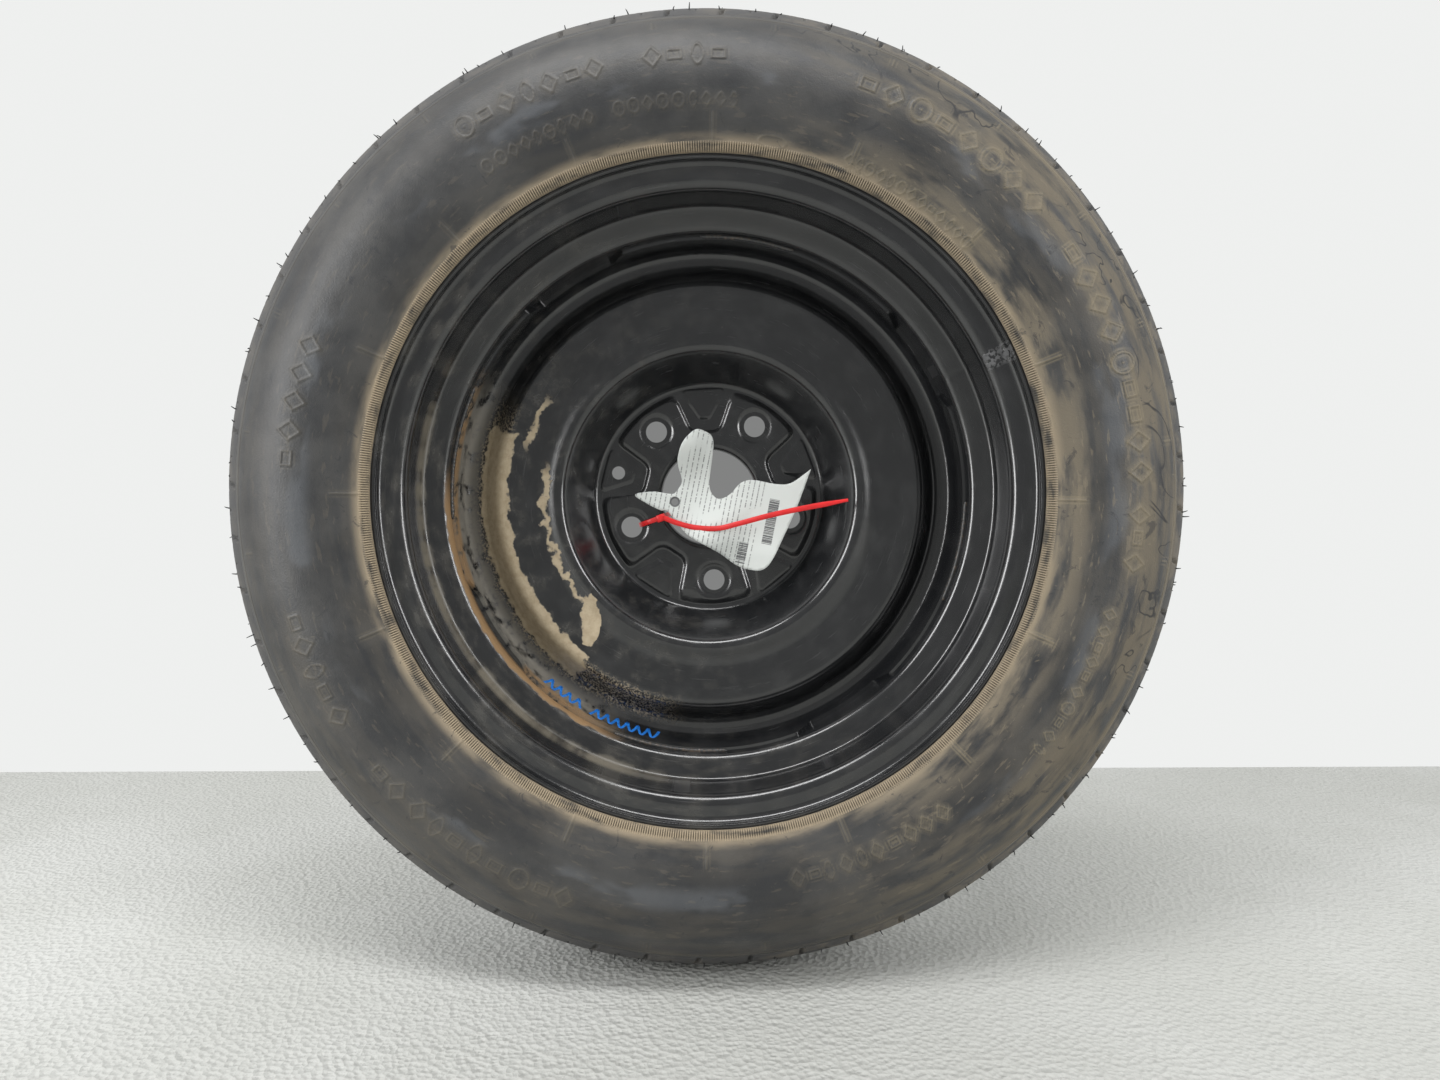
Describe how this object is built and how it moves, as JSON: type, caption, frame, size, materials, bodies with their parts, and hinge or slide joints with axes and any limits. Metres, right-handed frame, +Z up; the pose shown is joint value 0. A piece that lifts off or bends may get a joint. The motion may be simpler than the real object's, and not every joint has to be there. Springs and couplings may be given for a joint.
{
  "type": "compact spare wheel",
  "caption": "Temporary spare wheel: a narrow bias-ply tyre on a black pressed-steel drop-centre rim and disc with a snap-in valve.",
  "frame": {"origin": "centre of the rim: on the wheel's axis, midway between the rim flanges", "axes": "+Z up; +Y along the wheel's axis towards the outboard side (valve and nuts); the inboard side, against the hub, faces -Y"},
  "size_m": [0.667, 0.145, 0.667],
  "materials": {
    "tread_rubber": "matt dark grey tread rubber, dusty in the notches",
    "sidewall_rubber": "dark grey rubber with a soft sheen and dried brown dust",
    "nylon_casing": "rubber-coated nylon cord",
    "liner_rubber": "smooth butyl rubber",
    "bead_steel": "bronze-coated wire bundle",
    "filler_rubber": "hard rubber",
    "strip_rubber": "ribbed black rubber",
    "rim_paint": "black gloss paint, scuffed",
    "disc_paint": "black gloss paint, scuffed and dusty",
    "weld_paint": "black gloss paint over rough weld",
    "valve_rubber": "black moulded rubber",
    "brass": "turned brass",
    "core_gasket": "white PTFE",
    "spring_steel": "fine steel wire",
    "cap_plastic": "black moulded plastic"
  },
  "bodies": {
    "root": {"tread": "tread_rubber", "sidewall_inboard": "sidewall_rubber", "sidewall_outboard": "sidewall_rubber", "casing_plies": "nylon_casing", "inner_liner": "liner_rubber", "bead_wire_inboard": "bead_steel", "bead_wire_outboard": "bead_steel", "bead_filler_inboard": "filler_rubber", "bead_filler_outboard": "filler_rubber", "rim_strip_inboard": "strip_rubber", "rim_strip_outboard": "strip_rubber", "rim": "rim_paint", "disc": "disc_paint", "weld_beads": "weld_paint", "valve_body": "valve_rubber", "valve_stem": "brass", "valve_core_gasket": "core_gasket", "valve_core_barrel": "brass", "valve_core_spring": "spring_steel"},
    "core_pin": {"valve_core_pin": "brass", "valve_core_cup_seal": "valve_rubber"},
    "cap_seal": {"valve_cap_seal": "valve_rubber"},
    "cap": {"valve_cap": "cap_plastic"}
  },
  "joints": [
    {"name": "core_press", "type": "slide", "parent": "root", "child": "core_pin", "axis": [0.7452, -0.6668, 0], "range_m": [0, 0.0012], "stiffness_N_per_m": 400, "springref_m": -0.004, "deforming": ["valve_core_spring"]},
    {"name": "cap_lift", "type": "slide", "parent": "root", "child": "cap_seal", "axis": [-0.7452, 0.6668, 0], "range_m": [0, 0.00397]},
    {"name": "cap_turn", "type": "hinge", "parent": "cap_seal", "child": "cap", "pos_m": [0.17099, 0.0431, 0], "axis": [-0.7452, 0.6668, 0], "range_deg": [0, 1800]}
  ],
  "couplings": [
    {"joint": "cap_turn", "follows": "cap_lift", "rad_per_m": 7913.3}
  ]
}
